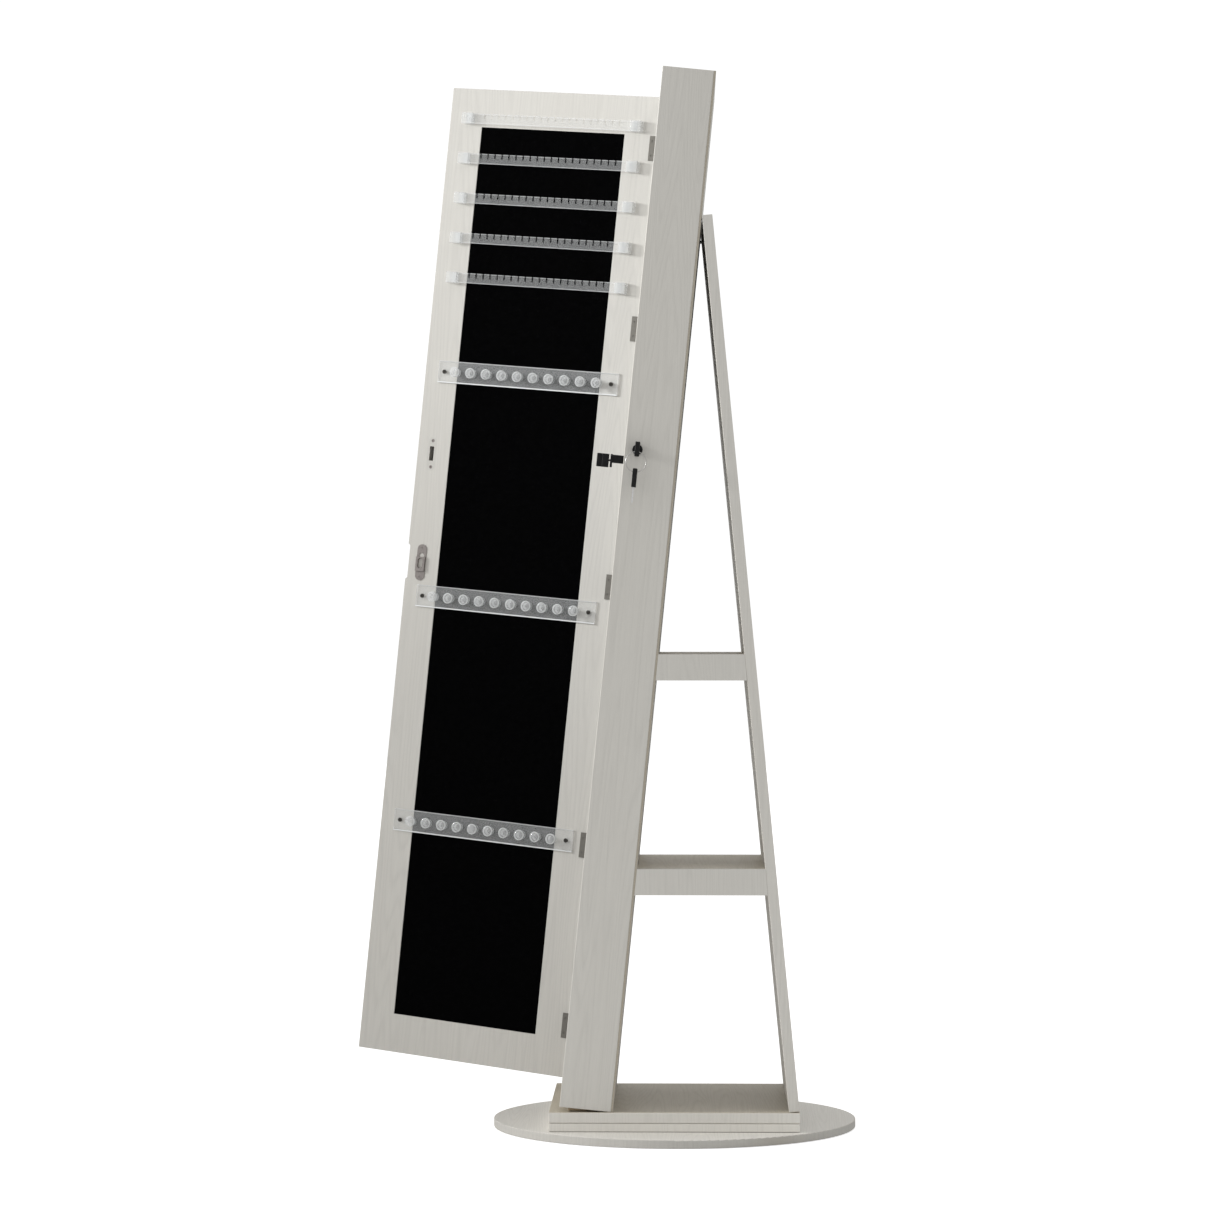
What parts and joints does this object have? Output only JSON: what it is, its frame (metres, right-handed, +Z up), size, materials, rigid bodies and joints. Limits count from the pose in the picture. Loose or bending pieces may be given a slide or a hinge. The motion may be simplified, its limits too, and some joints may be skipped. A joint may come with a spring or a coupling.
{
  "type": "jewelry armoire",
  "caption": "Leaning full-length mirror cabinet for jewelry on a turning round foot, hinged door open, with earring bars, necklace pegs, a side lock and open shelves behind.",
  "frame": {"origin": "on the floor, under the middle of the round base", "axes": "+Z up; +X to the rear, away from the mirror; +Y towards the hinge side; the lock is on the -Y side"},
  "size_m": [0.7589, 0.6169, 1.5737],
  "materials": {
    "white_board": "off-white wood-grain laminate",
    "hardboard": "painted hardboard",
    "black_felt": "short black felt",
    "black_velvet": "black velvet over foam",
    "pad_felt": "grey felt",
    "clear_acrylic": "clear polished acrylic",
    "mirror_glass": "silvered mirror",
    "hinge_nickel": "satin nickel",
    "keeper_nickel": "satin nickel",
    "zinc_steel": "zinc plated",
    "bright_steel": "polished",
    "key_steel": "nickel plated",
    "black_lock": "black satin",
    "black_plastic": "moulded black plastic",
    "white_plastic": "moulded white plastic",
    "dark_screw": "black oxide"
  },
  "bodies": {
    "base": {"floor_pads": "pad_felt", "base_disc": "white_board", "turntable_lower_plate": "zinc_steel", "turntable_lower_screws": "zinc_steel", "turntable_balls": "bright_steel"},
    "cabinet": {"turntable_upper_plate": "zinc_steel", "spacer_board": "white_board", "deck_board": "white_board", "deck_screws": "zinc_steel", "deck_bolts": "zinc_steel", "foot_wedge": "hardboard", "rear_board": "white_board", "upper_shelf_board": "white_board", "lower_shelf_board": "white_board", "shelf_rails": "white_board", "rear_board_screws": "zinc_steel", "side_panel_near": "white_board", "side_panel_far": "white_board", "top_panel": "white_board", "bottom_panel": "white_board", "back_panel": "hardboard", "back_lining": "black_felt", "back_panel_screws": "zinc_steel", "inner_shelves": "white_board", "shelf_guards": "clear_acrylic", "ring_cushion": "black_velvet", "hanging_rods": "bright_steel", "hinge_cabinet_leaves": "hinge_nickel", "hinge_pins": "hinge_nickel", "hinge_cabinet_screws": "hinge_nickel", "lock_barrel": "black_lock", "lock_case": "black_lock", "magnet_catch": "white_plastic"},
    "hook": {"lock_hook": "black_lock"},
    "plug": {"lock_plug": "black_lock"},
    "key": {"key_head": "black_plastic", "key_blade": "key_steel"},
    "ring": {"key_ring": "bright_steel"},
    "spare_key": {"spare_key_head": "black_plastic", "spare_key_blade": "key_steel"},
    "door": {"door_frame": "white_board", "door_mirror": "mirror_glass", "door_felt_board": "black_felt", "hinge_door_leaves": "hinge_nickel", "hinge_door_screws": "hinge_nickel", "catch_keeper": "keeper_nickel", "lock_strike": "white_plastic", "keeper_screws": "keeper_nickel", "earring_bar_1": "clear_acrylic", "earring_bar_2": "clear_acrylic", "earring_bar_3": "clear_acrylic", "earring_bar_4": "clear_acrylic", "earring_bar_5": "clear_acrylic", "earring_bar_holders": "clear_acrylic", "necklace_plate_1": "clear_acrylic", "necklace_plate_2": "clear_acrylic", "necklace_plate_3": "clear_acrylic", "necklace_pegs": "clear_acrylic", "necklace_plate_screws": "dark_screw"}
  },
  "joints": [
    {"name": "swivel", "type": "hinge", "parent": "base", "child": "cabinet", "pos_m": [0, 0, 0.0195], "axis": [0, 0, 1], "continuous": true},
    {"name": "door_hinge", "type": "hinge", "parent": "cabinet", "child": "door", "pos_m": [-0.09209, 0.179, 0.79509], "axis": [-0.0988, 0, -0.9951], "range_deg": [-112.2, 67.8]},
    {"name": "key_turn", "type": "hinge", "parent": "cabinet", "child": "plug", "pos_m": [-0.05276, -0.176, 0.99086], "axis": [0, 1, 0], "range_deg": [0, 90]},
    {"name": "hook_drop", "type": "slide", "parent": "cabinet", "child": "hook", "axis": [-0.0988, 0, -0.9951], "range_m": [0, 0.0073]},
    {"name": "key_pull", "type": "slide", "parent": "plug", "child": "key", "axis": [0, -1, 0], "range_m": [0, 0.024]},
    {"name": "ring_swing", "type": "hinge", "parent": "key", "child": "ring", "pos_m": [-0.05316, -0.202, 0.98678], "axis": [0, 1, 0], "range_deg": [-20, 20]},
    {"name": "spare_key_swing", "type": "hinge", "parent": "ring", "child": "spare_key", "pos_m": [-0.05605, -0.202, 0.95772], "axis": [0.9951, 0, -0.0988], "range_deg": [-60, 20]}
  ],
  "couplings": [
    {"joint": "hook_drop", "follows": "key_turn", "m_per_rad": 0.0044563}
  ]
}
